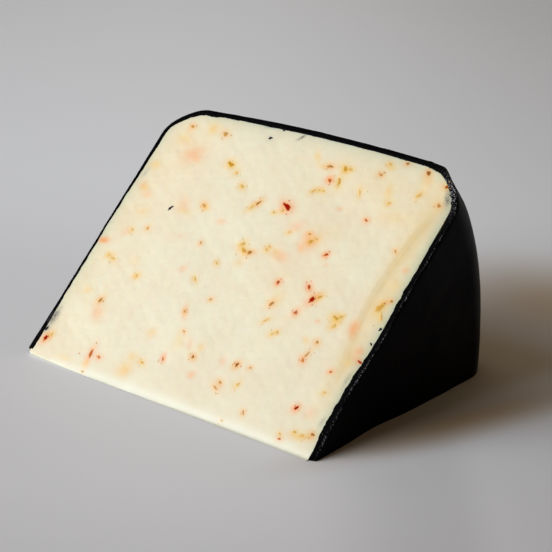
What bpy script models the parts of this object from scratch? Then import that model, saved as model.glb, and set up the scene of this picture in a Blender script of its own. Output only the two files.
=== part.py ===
"""Cheese wedge: a sector cut from a low wheel of chilli cheese in a thick black wax coat.

The wheel is a turned body whose axis lies along X. Two knife cuts that meet on that axis
leave a wedge, which lies on one cut face with the other leaning back above it.
The thin edge is at the front (-Y), the rind at the back (+Y).
The origin is under the middle of the wedge's box, on the face that it rests on. Metres, +Z up.
"""

import math

import bmesh
import bpy
from mathutils import Matrix, Vector

# Driving sizes of the whole wheel
WHEEL_RADIUS = 0.0845
WHEEL_HEIGHT = 0.0910
WEDGE_ANGLE = math.radians(42.3)

# The rind is highest a little right of the middle and falls away to both sides
RIND_HIGH_X = 0.0130
RIND_FALL = 0.0018
RIND_FALL_REACH = 0.0472

# Roundings from the rind to the two flat sides
LEFT_ROUNDING = 0.0108
RIGHT_ROUNDING = 0.0132

# The left side is slightly hollow, and a shallow ring is pressed into the right side
LEFT_HOLLOW = 0.0017
LEFT_HOLLOW_CURVE = 0.9
RING_DEPTH = 0.0008
RING_RADIUS = 0.0230
RING_SPREAD = 0.0130

# The coat is thickest on the right side
WAX_THICKNESS = 0.0017
WAX_THICKNESS_RIGHT = 0.0021
GAP = 0.0003

# The thin edge is worn blunt over this depth
EDGE_WEAR = 0.0005

# Finish of the turned shapes
STEPS_ROUND = 180
SIDE_STEPS = 12
ROUNDING_STEPS = 8
RIND_STEPS = 8
MERGE_DISTANCE = 0.00001
SMOOTH_ANGLE = math.radians(30)

# Chilli flakes in the upper cut face, in millimetres:
# across from the middle, up from the thin edge, length, width, turn in degrees
FLAKES = (
    (1.8, 61.1, 3.0, 1.7, -28),
    (22.4, 38.6, 2.4, 1.3, 70),
    (19.8, 41.6, 1.6, 0.8, -50),
    (19.3, 51.3, 1.2, 0.9, 60),
    (20.2, 34.1, 1.3, 0.8, 80),
    (11.3, 40.3, 1.3, 0.9, 90),
    (33.9, 10.9, 1.3, 1.0, 70),
    (24.2, 63.5, 1.1, 0.7, -30),
    (-26.1, 6.4, 3.2, 0.8, 98),
    (-23.4, 6.2, 1.1, 0.7, -20),
    (-40.9, 6.5, 2.4, 1.5, -50),
    (41.5, 27.0, 1.6, 0.7, -25),
    (28.8, 22.8, 1.4, 0.8, -50),
    (8.9, 71.5, 1.3, 1.0, -60),
    (13.3, 16.3, 1.4, 0.9, 75),
    (1.0, 14.5, 1.2, 0.8, -40),
    (12.8, 34.3, 1.7, 1.0, 70),
    (-32.6, 20.7, 1.6, 0.9, 80),
    (33.1, 80.8, 2.0, 1.0, -65),
    (26.2, 81.5, 1.2, 0.8, 20),
    (39.3, 77.9, 1.6, 1.0, 0),
    (40.3, 72.7, 1.5, 1.0, -30),
    (21.2, 76.9, 1.2, 0.9, -20),
    (6.8, 75.4, 2.0, 0.9, 5),
    (-6.4, 59.8, 2.0, 0.8, 65),
    (-0.7, 45.8, 1.7, 1.0, 15),
    (12.0, 55.4, 1.0, 0.6, -15),
    (29.8, 28.4, 1.1, 0.7, -40),
    (42.0, 44.4, 1.1, 0.7, 10),
    (41.4, 6.0, 1.3, 0.9, -40),
    (11.7, 10.6, 1.1, 0.6, -40),
    (23.9, 39.8, 1.7, 0.8, 60),
    (-3.9, 47.5, 1.8, 1.1, 60),
    (-2.6, 45.9, 2.4, 1.0, -28),
    (13.4, 53.5, 1.6, 1.2, 20),
    (11.2, 75.8, 2.2, 1.0, -50),
    (11.5, 71.8, 2.6, 0.9, -75),
    (6.2, 67.4, 1.7, 0.7, 60),
    (-20.3, 68.4, 2.1, 1.5, -20),
    (-17.4, 66.4, 1.2, 0.7, 60),
    (30.9, 35.8, 2.0, 0.9, -30),
    (31.6, 33.7, 1.7, 0.9, 60),
    (40.1, 42.0, 3.2, 1.7, 78),
    (-13.6, 63.1, 1.6, 1.0, -35),
    (-7.6, 58.1, 2.0, 0.8, 60),
    (-11.3, 8.7, 1.5, 0.7, -20),
    (33.9, 74.0, 2.0, 0.8, 65),
    (21.9, 80.5, 1.3, 0.8, -20),
    (39.0, 4.8, 1.6, 0.8, 20),
    (-27.1, 76.6, 1.9, 1.2, -25),
    (-37.9, 76.3, 1.3, 1.0, -40),
    (-36.6, 32.8, 1.7, 0.9, -25),
)
MILLIMETRE = 0.001
FLAKE_SIDES = 6
FLAKE_TOP_SHARE = 0.6
FLAKE_THICKNESS = 0.0007
FLAKE_PROUD = 0.00015

# Flakes that touch stand this much higher than each other, in turn
FLAKE_STEP = 0.00003
FLAKE_STEP_COUNT = 4

# Linear colours
CHEESE_COLOUR = (0.855, 0.791, 0.597, 1.0)
WAX_COLOUR = (0.004, 0.0035, 0.0045, 1.0)

# From the wheel's axis to the middle of the wedge's depth
AXIS_TO_MIDDLE = (EDGE_WEAR + WHEEL_RADIUS) / 2
AXIS_PLACE = Vector((0, -AXIS_TO_MIDDLE, 0))


def clear_scene():
    """Removes whatever the scene holds."""
    for thing in list(bpy.data.objects):
        bpy.data.objects.remove(thing, do_unlink=True)


def new_collection(name):
    """Adds a collection to the scene."""
    collection = bpy.data.collections.new(name)
    bpy.context.scene.collection.children.link(collection)
    return collection


def make_material(name, colour, roughness):
    """Makes a plain non-metallic material."""
    material = bpy.data.materials.new(name)
    material.use_nodes = True
    shader = material.node_tree.nodes["Principled BSDF"]
    shader.inputs["Base Color"].default_value = colour
    shader.inputs["Roughness"].default_value = roughness
    shader.inputs["Metallic"].default_value = 0.0
    material.diffuse_color = colour
    return material


def new_object(name, mesh, collection):
    """Puts a mesh in the scene as an object of a collection."""
    thing = bpy.data.objects.new(name, mesh)
    collection.objects.link(thing)
    return thing


def rind_radius(x):
    """Radius of the wheel's outside at a place along its axis."""
    return WHEEL_RADIUS - RIND_FALL * ((x - RIND_HIGH_X) / RIND_FALL_REACH) ** 2


def left_hollow(radius, rim):
    """Depth of the left side's hollow, deepest on the axis and nothing at the rim."""
    return LEFT_HOLLOW * (1 - min(radius / rim, 1) ** LEFT_HOLLOW_CURVE)


def right_ring(radius):
    """Depth of the ring pressed into the right side."""
    return RING_DEPTH * math.exp(-(((radius - RING_RADIUS) / RING_SPREAD) ** 2))


def wheel_section(inset_left, inset_rind, inset_right):
    """Half section of the wheel as (x, radius) points, from the left side's middle over the
    rind to the right side's middle. The insets move the three faces in under the coat.
    """
    half = WHEEL_HEIGHT / 2
    left_centre_x = -half + LEFT_ROUNDING
    right_centre_x = half - RIGHT_ROUNDING
    left_rim = rind_radius(left_centre_x) - LEFT_ROUNDING
    right_rim = rind_radius(right_centre_x) - RIGHT_ROUNDING
    points = []
    for step in range(SIDE_STEPS):
        radius = left_rim * step / SIDE_STEPS
        points.append((-half + inset_left + left_hollow(radius, left_rim), radius))
    for step in range(ROUNDING_STEPS):
        turn = math.pi / 2 * step / ROUNDING_STEPS
        x = left_centre_x - (LEFT_ROUNDING - inset_left) * math.cos(turn)
        points.append((x, left_rim + (LEFT_ROUNDING - inset_rind) * math.sin(turn)))
    for step in range(RIND_STEPS):
        x = left_centre_x + (right_centre_x - left_centre_x) * step / RIND_STEPS
        points.append((x, rind_radius(x) - inset_rind))
    for step in range(ROUNDING_STEPS):
        turn = math.pi / 2 * step / ROUNDING_STEPS
        x = right_centre_x + (RIGHT_ROUNDING - inset_right) * math.sin(turn)
        points.append((x, right_rim + (RIGHT_ROUNDING - inset_rind) * math.cos(turn)))
    for step in range(SIDE_STEPS + 1):
        radius = right_rim * (1 - step / SIDE_STEPS)
        points.append((half - inset_right - right_ring(radius), radius))
    return points


def turned_wheel(name, section, collection):
    """A half section turned round the X axis, whole and closed.
    It is laid out from the right side to the left, so that the faces point out.
    """
    mesh = bpy.data.meshes.new(name)
    corners = [(x, radius, 0) for x, radius in reversed(section)]
    edges = [(n, n + 1) for n in range(len(section) - 1)]
    mesh.from_pydata(corners, edges, [])
    wheel = new_object(name, mesh, collection)
    wheel.location = AXIS_PLACE
    turn = wheel.modifiers.new("Turn", "SCREW")
    turn.axis = "X"
    turn.angle = 2 * math.pi
    turn.steps = STEPS_ROUND
    turn.render_steps = STEPS_ROUND
    turn.use_merge_vertices = True
    turn.merge_threshold = MERGE_DISTANCE
    return wheel


def hide_cutter(thing):
    """Shows a cutter as wires only."""
    thing.hide_render = True
    thing.display_type = "WIRE"


def add_knife(name, tilt, offset, collection):
    """A block whose lower face, tilted round the wheel's axis, is one plane of the cut.
    The offset moves that face away from the axis, along its own normal.
    """
    size = 4 * WHEEL_RADIUS
    box = bmesh.new()
    bmesh.ops.create_cube(box, size=size)
    bmesh.ops.translate(box, verts=box.verts, vec=(0, 0, size / 2 + offset))
    mesh = bpy.data.meshes.new(name)
    box.to_mesh(mesh)
    box.free()
    knife = new_object(name, mesh, collection)
    knife.location = AXIS_PLACE
    knife.rotation_euler = (tilt, 0, 0)
    hide_cutter(knife)
    return knife


def cut_with(thing, name, collection):
    """Takes everything in a collection of cutters away from an object."""
    cut = thing.modifiers.new(name, "BOOLEAN")
    cut.operation = "DIFFERENCE"
    cut.solver = "EXACT"
    cut.operand_type = "COLLECTION"
    cut.collection = collection


def add_flake(number, place, collection):
    """One flat six-sided chilli flake, sunk in the upper cut face and standing just proud."""
    across, up, length, width, turn = place
    half_length = length * MILLIMETRE / 2
    half_width = width * MILLIMETRE / 2
    proud = FLAKE_PROUD + FLAKE_STEP * (number % FLAKE_STEP_COUNT)
    flake = bmesh.new()
    bmesh.ops.create_cone(
        flake,
        cap_ends=True,
        segments=FLAKE_SIDES,
        radius1=1,
        radius2=FLAKE_TOP_SHARE,
        depth=1,
    )
    shape = Matrix.Diagonal((half_length, half_width, FLAKE_THICKNESS, 1))
    spin = Matrix.Rotation(math.radians(turn), 4, "Z")
    lift = Matrix.Translation(
        (
            across * MILLIMETRE,
            up * MILLIMETRE,
            proud - FLAKE_THICKNESS / 2,
        )
    )
    onto_face = Matrix.Rotation(WEDGE_ANGLE, 4, "X")
    to_axis = Matrix.Translation(AXIS_PLACE)
    bmesh.ops.transform(
        flake,
        matrix=to_axis @ onto_face @ lift @ spin @ shape,
        verts=flake.verts,
    )
    mesh = bpy.data.meshes.new(f"flake_{number}")
    flake.to_mesh(mesh)
    flake.free()
    return new_object(f"flake_{number}", mesh, collection)


def fuse_flakes(cheese, collection):
    """Joins the flakes to the cheese in one union, and removes the loose ones."""
    join = cheese.modifiers.new("Flakes", "BOOLEAN")
    join.operation = "UNION"
    join.solver = "EXACT"
    join.operand_type = "COLLECTION"
    join.collection = collection
    bpy.context.view_layer.update()
    evaluated = cheese.evaluated_get(bpy.context.evaluated_depsgraph_get())
    cheese.data = bpy.data.meshes.new_from_object(evaluated)
    cheese.modifiers.clear()
    for flake in list(collection.objects):
        bpy.data.objects.remove(flake, do_unlink=True)
    bpy.data.collections.remove(collection)


def finish(thing, material):
    """Gives an object its material and shades its round faces smooth."""
    thing.data.materials.clear()
    thing.data.materials.append(material)
    thing.data.shade_smooth()
    thing.data.set_sharp_from_angle(angle=SMOOTH_ANGLE)


def make_knives():
    """The three cuts: under the wedge, over it, and off its thin edge."""
    knives = new_collection("cutters_knives")
    add_knife("cut_below", math.pi, 0, knives)
    add_knife("cut_above", WEDGE_ANGLE, 0, knives)
    add_knife("cut_edge", math.pi / 2, -EDGE_WEAR, knives)
    return knives


def make_cheese(parts, knives):
    """The pale body of the wedge, clear of the coat by the gap."""
    side = WAX_THICKNESS + GAP
    section = wheel_section(side, side, WAX_THICKNESS_RIGHT + GAP)
    cheese = turned_wheel("cheese", section, parts)
    cut_with(cheese, "Wedge", knives)
    flakes = new_collection("flakes")
    for number, place in enumerate(FLAKES):
        add_flake(number, place, flakes)
    fuse_flakes(cheese, flakes)
    finish(cheese, make_material("cheese", CHEESE_COLOUR, 0.45))


def make_wax_coat(parts, knives):
    """The black coat over the rind and both flat sides, open at the two cuts."""
    hollow = new_collection("cutters_hollow")
    inner = wheel_section(WAX_THICKNESS, WAX_THICKNESS, WAX_THICKNESS_RIGHT)
    hide_cutter(turned_wheel("coat_hollow", inner, hollow))
    coat = turned_wheel("wax_coat", wheel_section(0, 0, 0), parts)
    cut_with(coat, "Hollow", hollow)
    cut_with(coat, "Wedge", knives)
    finish(coat, make_material("black_wax", WAX_COLOUR, 0.35))


def main():
    clear_scene()
    parts = new_collection("cheese_wedge")
    knives = make_knives()
    make_cheese(parts, knives)
    make_wax_coat(parts, knives)


main()
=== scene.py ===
"""Cheese wedge in a black wax coat: the fine surfaces and their finish.

The wedge is a sector of a low wheel whose axis lies along X. It lies on one cut face, and
the other cut face leans back above it. "Across" is the place along the wheel's axis from
the middle, "up" is the distance from the axis within a cut face.
"""

import math

import bpy
import numpy as np
from bpy.props import FloatProperty, FloatVectorProperty, IntProperty, PointerProperty
from mathutils import Matrix, Vector


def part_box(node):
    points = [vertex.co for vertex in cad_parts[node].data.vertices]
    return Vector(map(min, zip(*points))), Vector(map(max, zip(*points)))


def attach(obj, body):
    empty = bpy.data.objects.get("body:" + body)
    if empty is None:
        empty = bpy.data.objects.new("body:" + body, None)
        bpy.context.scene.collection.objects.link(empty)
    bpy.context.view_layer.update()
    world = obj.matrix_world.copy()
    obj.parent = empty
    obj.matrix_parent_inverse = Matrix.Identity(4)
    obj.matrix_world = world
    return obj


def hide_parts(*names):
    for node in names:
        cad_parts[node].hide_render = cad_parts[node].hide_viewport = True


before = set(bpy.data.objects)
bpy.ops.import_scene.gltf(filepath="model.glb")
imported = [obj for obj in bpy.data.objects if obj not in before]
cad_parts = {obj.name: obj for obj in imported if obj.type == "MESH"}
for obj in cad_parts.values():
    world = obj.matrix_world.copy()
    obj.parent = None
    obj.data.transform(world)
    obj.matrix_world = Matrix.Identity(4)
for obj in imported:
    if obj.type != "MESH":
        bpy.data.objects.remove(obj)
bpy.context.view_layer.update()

bl_info = {
    "name": "Waxed cheese wedge",
    "version": (1, 0, 0),
    "blender": (4, 5, 0),
    "location": "View3D > Sidebar > Cheese wedge",
    "description": "Makes a wedge of chilli cheese in a black wax coat",
    "category": "Add Mesh",
}

MM = 0.001

# Sizes of the wheel, from the frame
coat_low, coat_high = (np.array(corner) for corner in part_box("wax_coat"))
THIN_EDGE = 0.5 * MM
WHEEL_WIDTH = float(coat_high[0] - coat_low[0])
WHEEL_RADIUS = float(coat_high[1] - coat_low[1]) + THIN_EDGE
WEDGE_ANGLE = math.asin(float(coat_high[2]) / WHEEL_RADIUS)
AXIS_BACK = float(coat_low[1]) - THIN_EDGE

# Chilli flakes in the leaning face, in millimetres: across, up, length, width, turn in degrees,
# and how strong its colour is, from 0 to 1
RED_FLAKES = (
    (1.8, 61.1, 3.0, 1.7, -28, 1.0),
    (22.4, 38.6, 2.4, 1.3, 70, 1.0),
    (19.8, 41.6, 1.6, 0.8, -50, 0.9),
    (19.3, 51.3, 1.2, 0.9, 60, 0.9),
    (20.2, 34.1, 1.3, 0.8, 80, 0.8),
    (11.3, 40.3, 1.3, 0.9, 90, 0.8),
    (33.9, 10.9, 1.3, 1.0, 70, 1.0),
    (24.2, 63.5, 1.1, 0.7, -30, 0.6),
    (-26.1, 6.4, 3.2, 0.8, 98, 0.6),
    (-23.4, 6.2, 1.1, 0.7, -20, 0.45),
    (-41.0, 6.3, 2.0, 1.2, 70, 1.0),
    (42.7, 27.0, 1.8, 0.7, -25, 0.95),
    (28.8, 22.8, 1.4, 0.8, -50, 0.35),
    (8.9, 71.5, 1.3, 1.0, -60, 0.7),
    (37.1, 22.3, 0.9, 0.6, 30, 0.5),
    (34.2, 2.2, 0.9, 0.7, 0, 0.6),
    (-6.4, 11.4, 1.2, 0.5, -60, 0.4),
)
BROWN_FLAKES = (
    (13.3, 16.3, 1.4, 0.9, 75, 0.95),
    (1.0, 14.5, 1.2, 0.8, -40, 0.75),
    (12.8, 34.3, 1.7, 1.0, 70, 0.6),
    (-32.6, 20.7, 1.6, 0.9, 80, 0.6),
    (21.8, 5.4, 1.2, 0.5, -50, 0.4),
    (33.1, 80.8, 2.0, 1.0, -65, 0.9),
    (26.3, 82.0, 1.2, 0.8, 20, 0.7),
    (39.8, 78.3, 1.6, 1.0, 0, 1.0),
    (40.3, 72.7, 1.5, 1.0, -30, 0.6),
    (21.2, 76.9, 1.2, 0.9, -20, 0.5),
    (6.8, 75.4, 2.0, 0.9, 5, 0.65),
    (-6.4, 59.8, 2.0, 0.8, 65, 0.7),
    (-0.7, 45.8, 1.7, 1.0, 15, 0.75),
    (-27.1, 76.6, 1.9, 1.2, -25, 0.45),
    (-37.9, 76.3, 1.3, 1.0, -40, 0.45),
    (-20.7, 54.8, 1.6, 0.9, -35, 0.35),
    (12.0, 55.4, 1.0, 0.6, -15, 0.5),
    (29.0, 24.5, 2.0, 0.5, 72, 0.4),
    (29.8, 28.4, 1.1, 0.7, -40, 0.55),
    (42.0, 44.4, 1.1, 0.7, 10, 0.6),
    (40.6, 43.3, 0.8, 0.6, 40, 0.6),
    (41.4, 6.0, 1.3, 0.9, -40, 0.7),
    (11.7, 10.6, 1.1, 0.6, -40, 0.5),
    (11.3, 8.9, 1.8, 0.5, -30, 0.4),
    (-3.4, 30.4, 0.9, 0.7, 0, 0.35),
    (-15.3, 44.4, 1.0, 0.6, -60, 0.3),
    (-5.2, 20.0, 0.9, 0.6, -30, 0.25),
    (-8.2, 25.1, 1.2, 0.6, -60, 0.3),
    (-32.3, 43.9, 1.1, 0.8, -50, 0.25),
    (36.0, 57.5, 0.9, 0.5, -50, 0.35),
    (17.1, 16.6, 0.7, 0.5, 20, 0.35),
    (-25.4, 1.2, 0.7, 0.5, 0, 0.35),
)
GOLD_FLAKES = (
    (23.9, 39.8, 1.7, 0.8, 60, 0.8),
    (-3.9, 47.5, 1.8, 1.1, 60, 0.6),
    (-2.6, 45.9, 2.4, 1.0, -28, 0.8),
    (13.4, 53.5, 1.6, 1.2, 20, 0.85),
    (11.2, 75.8, 2.2, 1.0, -50, 0.9),
    (12.5, 76.0, 1.4, 0.9, 10, 0.6),
    (11.5, 71.8, 2.6, 0.9, -75, 0.75),
    (6.2, 67.4, 1.7, 0.7, 60, 0.5),
    (7.5, 68.0, 0.9, 0.6, 0, 0.4),
    (-20.3, 68.4, 2.1, 1.5, -20, 1.0),
    (-17.4, 66.4, 1.2, 0.7, 60, 0.45),
    (30.9, 35.8, 2.0, 0.9, -30, 0.8),
    (32.0, 36.5, 1.2, 0.7, 60, 0.6),
    (31.6, 33.7, 1.7, 0.9, 60, 0.5),
    (40.1, 42.0, 3.2, 1.7, 78, 0.8),
    (41.6, 39.6, 2.6, 0.9, -55, 0.35),
    (-13.6, 63.1, 1.6, 1.0, -35, 0.6),
    (-7.6, 58.1, 2.0, 0.8, 60, 0.45),
    (-36.6, 32.8, 1.7, 0.9, -25, 0.4),
    (-27.2, 30.2, 1.2, 0.9, 30, 0.35),
    (-11.3, 8.7, 1.5, 0.7, -20, 0.5),
    (16.4, 11.5, 1.5, 0.8, 70, 0.4),
    (13.8, 29.7, 1.9, 0.5, 50, 0.4),
    (17.4, 26.8, 1.3, 0.7, 50, 0.35),
    (-7.7, 40.3, 1.2, 0.6, -50, 0.45),
    (-10.8, 34.3, 1.9, 0.7, -40, 0.4),
    (33.9, 74.0, 2.0, 0.8, 65, 0.55),
    (27.5, 69.6, 1.2, 0.9, 20, 0.4),
    (21.9, 80.5, 1.3, 0.8, -20, 0.5),
    (18.4, 70.5, 2.1, 0.5, -65, 0.35),
    (33.6, 3.4, 1.1, 0.7, -40, 0.4),
    (39.0, 4.8, 1.6, 0.8, 20, 0.45),
    (1.2, 59.6, 0.9, 0.6, 60, 0.5),
    (3.2, 47.8, 1.2, 0.6, -50, 0.35),
    (6.4, 54.3, 1.0, 0.6, 30, 0.35),
    (38.4, 16.8, 0.9, 0.7, 0, 0.35),
    (17.7, 1.6, 0.9, 0.6, 0, 0.25),
    (-36.4, 42.2, 1.4, 0.8, -40, 0.3),
    (-40.1, 7.6, 1.3, 0.8, 60, 0.5),
    (14.5, 54.6, 0.8, 0.5, 20, 0.6),
    (8.8, 68.1, 0.8, 0.5, -30, 0.6),
    (-38.4, 33.4, 0.9, 0.6, 40, 0.4),
    (18.4, 27.6, 0.9, 0.6, 50, 0.6),
    (-0.8, 58.5, 0.8, 0.5, 10, 0.6),
    (3.6, 48.8, 0.7, 0.5, -20, 0.4),
    (36.8, 5.1, 1.0, 0.6, 15, 0.7),
)

# Oil stains with no flake at the surface, in millimetres:
# across, up, length, width, turn in degrees, strength from 0 to 1
RED_STAINS = (
    (-32.5, 68.3, 6.5, 5.5, 20, 0.42),
    (-30.8, 67.0, 2.2, 1.6, -40, 0.35),
    (-38.3, 53.2, 3.0, 2.2, 0, 0.30),
    (-26.8, 53.6, 3.6, 4.4, 30, 0.26),
    (-42.6, 37.0, 3.6, 2.0, 10, 0.95),
    (-31.3, 17.3, 3.0, 4.6, 30, 0.38),
    (-37.6, 41.0, 3.0, 2.0, 0, 0.24),
    (-13.2, 51.8, 2.8, 1.8, 10, 0.36),
    (-15.6, 36.0, 2.8, 2.0, 30, 0.36),
    (-8.0, 25.0, 1.8, 5.0, 25, 0.36),
    (-1.8, 17.4, 2.2, 3.4, 30, 0.26),
    (3.4, 9.9, 2.0, 2.0, 0, 0.46),
    (9.2, 16.0, 1.8, 2.6, 30, 0.28),
    (8.0, 47.2, 4.6, 3.0, -20, 0.40),
    (7.4, 56.6, 5.0, 3.6, 30, 0.28),
    (13.2, 53.4, 5.4, 4.6, -40, 0.44),
    (11.8, 51.0, 3.6, 1.8, -40, 0.36),
    (36.6, 34.8, 2.6, 4.6, 20, 0.62),
    (41.3, 29.4, 2.8, 2.6, 0, 0.62),
    (26.9, 33.6, 1.3, 1.1, 0, 0.50),
    (20.8, 48.6, 1.2, 0.9, 0, 0.40),
    (37.8, 11.0, 3.0, 3.0, 0, 0.28),
    (28.8, 22.4, 3.2, 2.6, 0, 0.06),
    (41.2, 53.4, 2.0, 1.8, 0, 0.40),
    (8.6, 72.0, 2.2, 2.0, 0, 0.42),
    (-6.4, 12.2, 1.4, 2.6, 30, 0.30),
    (-41.2, 55.8, 1.8, 2.4, 0, 0.24),
    (15.6, 64.5, 1.8, 1.2, 0, 0.34),
    (-22.0, 44.6, 2.6, 1.8, 30, 0.16),
)
GOLD_STAINS = (
    (-31.4, 77.2, 4.4, 3.6, -60, 0.50),
    (-38.0, 72.2, 5.0, 4.0, 0, 0.34),
    (-41.6, 62.4, 3.6, 2.6, 0, 0.44),
    (-40.4, 54.9, 2.6, 2.2, -20, 0.62),
    (-36.6, 48.2, 4.2, 3.2, 0, 0.28),
    (-25.4, 51.8, 4.2, 2.4, 0, 0.34),
    (-20.0, 54.6, 3.2, 1.8, -30, 0.55),
    (-38.2, 33.4, 2.4, 1.6, -20, 0.60),
    (-30.0, 34.0, 3.6, 3.0, 0, 0.22),
    (-37.8, 22.4, 2.8, 2.4, 0, 0.34),
    (-27.0, 30.4, 2.6, 2.0, 0, 0.40),
    (-13.5, 17.0, 2.4, 3.0, 0, 0.40),
    (-14.8, 5.4, 4.0, 4.2, 0, 0.52),
    (-14.6, 9.4, 3.0, 3.0, 0, 0.34),
    (-32.4, 2.8, 4.0, 2.0, 0, 0.34),
    (-25.8, 3.2, 2.0, 2.6, 20, 0.42),
    (-5.0, 17.0, 3.4, 5.0, 20, 0.24),
    (1.6, 17.4, 2.4, 2.8, 0, 0.40),
    (6.0, 48.0, 3.6, 2.6, 0, 0.30),
    (1.8, 77.4, 1.8, 4.4, 30, 0.44),
    (4.4, 74.8, 3.0, 1.6, 0, 0.26),
    (26.0, 72.6, 2.2, 5.0, 25, 0.42),
    (22.8, 79.4, 2.4, 1.8, 0, 0.42),
    (31.0, 66.0, 7.0, 4.0, 0, 0.26),
    (39.4, 4.9, 3.4, 1.8, 20, 0.55),
    (40.4, 26.0, 2.2, 3.4, -10, 0.30),
    (13.6, 36.0, 3.6, 4.6, 0, 0.24),
    (30.6, 35.4, 4.0, 3.6, 0, 0.34),
    (41.0, 48.0, 3.6, 4.4, 0, 0.28),
    (26.8, 28.0, 2.6, 1.8, -30, 0.42),
    (34.0, 78.0, 3.4, 4.0, 0, 0.30),
    (-2.0, 42.4, 3.4, 2.8, 0, 0.26),
    (16.0, 57.0, 8.0, 6.0, 0, 0.14),
    (24.0, 73.0, 34.0, 22.0, 0, 0.14),
    (39.5, 58.0, 9.0, 56.0, 0, 0.26),
    (40.5, 24.0, 8.0, 30.0, 0, 0.16),
    (-8.0, 68.0, 110.0, 60.0, 0, 0.02),
    (-36.0, 22.0, 18.0, 50.0, 0, 0.07),
    (-35.0, 66.0, 20.0, 34.0, 0, 0.10),
    (-42.0, 40.0, 6.0, 70.0, 0, 0.10),
    (14.0, 42.0, 24.0, 22.0, 20, 0.08),
)

# The tan streak that runs beside the right side: across and up of its bends, in millimetres
STREAK_BENDS = (
    (40.8, 71.0),
    (39.0, 62.5),
    (38.0, 56.0),
    (37.2, 49.0),
    (37.0, 41.0),
    (37.8, 32.0),
    (39.4, 24.0),
    (38.8, 16.0),
)

# Scraps of wax dragged over the leaning face by the knife, in the flakes' own terms
WAX_CRUMBS = (
    (-14.0, 79.0, 1.2, 0.9, 10, 1.0),
    (-29.5, 51.4, 1.8, 0.8, 75, 1.0),
    (-11.5, 82.3, 0.9, 0.6, 80, 1.0),
    (43.1, 36.6, 1.2, 0.7, 60, 1.0),
    (42.9, 32.3, 1.0, 0.5, -30, 1.0),
    (-42.4, 8.7, 1.3, 0.8, 60, 1.0),
    (-43.3, 12.2, 4.2, 0.7, 89, 1.0),
    (41.9, 76.2, 1.0, 0.5, -50, 1.0),
    (43.0, 74.4, 1.2, 0.5, -65, 1.0),
    (37.2, 81.9, 1.0, 0.5, -35, 1.0),
)
# Thin grey films of wax on the cheese, in the stains' own terms
WAX_FILMS = (
    (-42.3, 12.4, 1.7, 5.4, 0, 0.95),
    (-42.6, 8.8, 1.3, 1.6, 0, 0.9),
    (-42.9, 59.4, 0.8, 3.0, 0, 0.40),
    (-16.4, 82.2, 3.4, 1.0, 10, 0.45),
    (-5.5, 81.5, 2.4, 0.8, 54, 1.0),
    (41.5, 75.2, 1.5, 5.0, 20, 0.85),
    (37.4, 81.6, 3.2, 1.0, -30, 0.55),
    (42.0, 21.6, 0.8, 3.6, 0, 0.45),
    (41.8, 10.0, 0.8, 2.6, 0, 0.40),
    (-14.0, 79.0, 3.0, 2.4, 0, 0.18),
)

# Painted warm shadow on the floor, soft ovals that deepen and widen the cast shadow, in
# millimetres: x and y of the middle, length, width, turn in degrees, depth from 0 to 1
PAINTED_FLOOR_SHADOWS = (
    (33.0, 97.0, 96.0, 108.0, 35, 0.60),
    (57.5, 3.0, 140.0, 26.0, 74, 0.68),
)

# Bell curves along a line, in millimetres: middle, reach and height.
# Over the right side's wax at the cut, by the place up the face
RIGHT_SWELLINGS = (
    (9.0, 6.5, 0.85),
    (0.0, 2.5, -0.50),
    (24.5, 4.0, 0.35),
    (49.0, 4.0, 0.30),
    (69.0, 4.0, -0.40),
)
# Over the rind near the upper cut, by the place across
RIND_BEADS = ((36.5, 1.7, 0.55), (32.0, 0.8, 0.15), (-4.0, 26.0, 0.20))

# The rind's high place, and the distance from it at which the whole fall is reached
RIND_HIGH = 13 * MM
RIND_REACH = 47 * MM

# The dent in the right side: its place back from the axis and above it, heading and reaches
DENT_BACK = 22 * MM
DENT_ABOVE = 6 * MM
DENT_HEADING = (0.86, -0.51)
DENT_LENGTH = 15 * MM
DENT_WIDTH = 9 * MM

# The coat's ends at the thin edge, up from the axis: broken off at the left, whole at the right
BROKEN_END = 2.4 * MM
WHOLE_END = 0.55 * MM

# Height up the face at which the left side's wax is thinnest
LEFT_THINNEST = 45 * MM

# How far the cheese reaches under the wax
UNDER_COAT = 0.15 * MM

# Height of the cheese's nose at the thin edge, and the gap under its lower face
NOSE_HEIGHT = 0.12 * MM
TABLE_GAP = 0.05 * MM

# How far the coat's edge at the upper cut is sunk, outside and inside
OUTER_SUNK = 0.08 * MM
INNER_SUNK = 0.15 * MM

# Where the cut faces start up from the axis before they are worn, the least that is left,
# and how far behind the axis the handle of the thin edge's curve lies
EDGE_START = 0.45 * MM
EDGE_LEAST = 0.12 * MM
HANDLE_BACK = 0.15 * MM

# How far a grain's rim is sunk
RIM_SUNK = 0.02 * MM

# Least and greatest length of the flakes in the face below, in millimetres
BELOW_LENGTHS = (0.9, 2.4)

# Strength of the oil round the strongest flakes
RED_STRENGTH = 0.85
GOLD_STRENGTH = 0.80
BROWN_RED_STRENGTH = 0.42
BROWN_GOLD_STRENGTH = 0.55

# Seeds of the flakes and the scraps of wax
RED_SEED = 41
GOLD_SEED = 42
BROWN_SEED = 43
CRUMB_SEED = 61

# How far past a kind's own seed the seeds of its splinters and of its outlines lie
SPLINTER_SEED_STEP = 50
OUTLINE_SEED_STEP = 100

# Spreads of the cheese's, the coat's and the grains' grids
CHEESE_ACROSS = 183
CHEESE_UP = 169
CHEESE_LAYERS = 6
COAT_SIDE_STEPS = 215
COAT_RIND_STEPS = 255
COAT_ROUND_STEPS = 64
COAT_LIP_STEPS = 6
COAT_INNER_STEPS = 6
GRAIN_RINGS = 5
GRAIN_SPOKES = 18

# Headings on the floor: to the right of the wedge, to its left and away from the camera
RIGHTWARD = (0.815, 0.580, 0.0)
LEFTWARD = (-0.815, -0.580, 0.0)
AWAY = (-0.557, 0.830, 0.0)

# The floor's half side and how far it lies under the wedge
FLOOR_HALF = 6.0
FLOOR_DROP = 0.05 * MM

# The floor's painted brightness on its near side; farther away it is painted lighter
NEAR_TONE = 0.728

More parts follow.
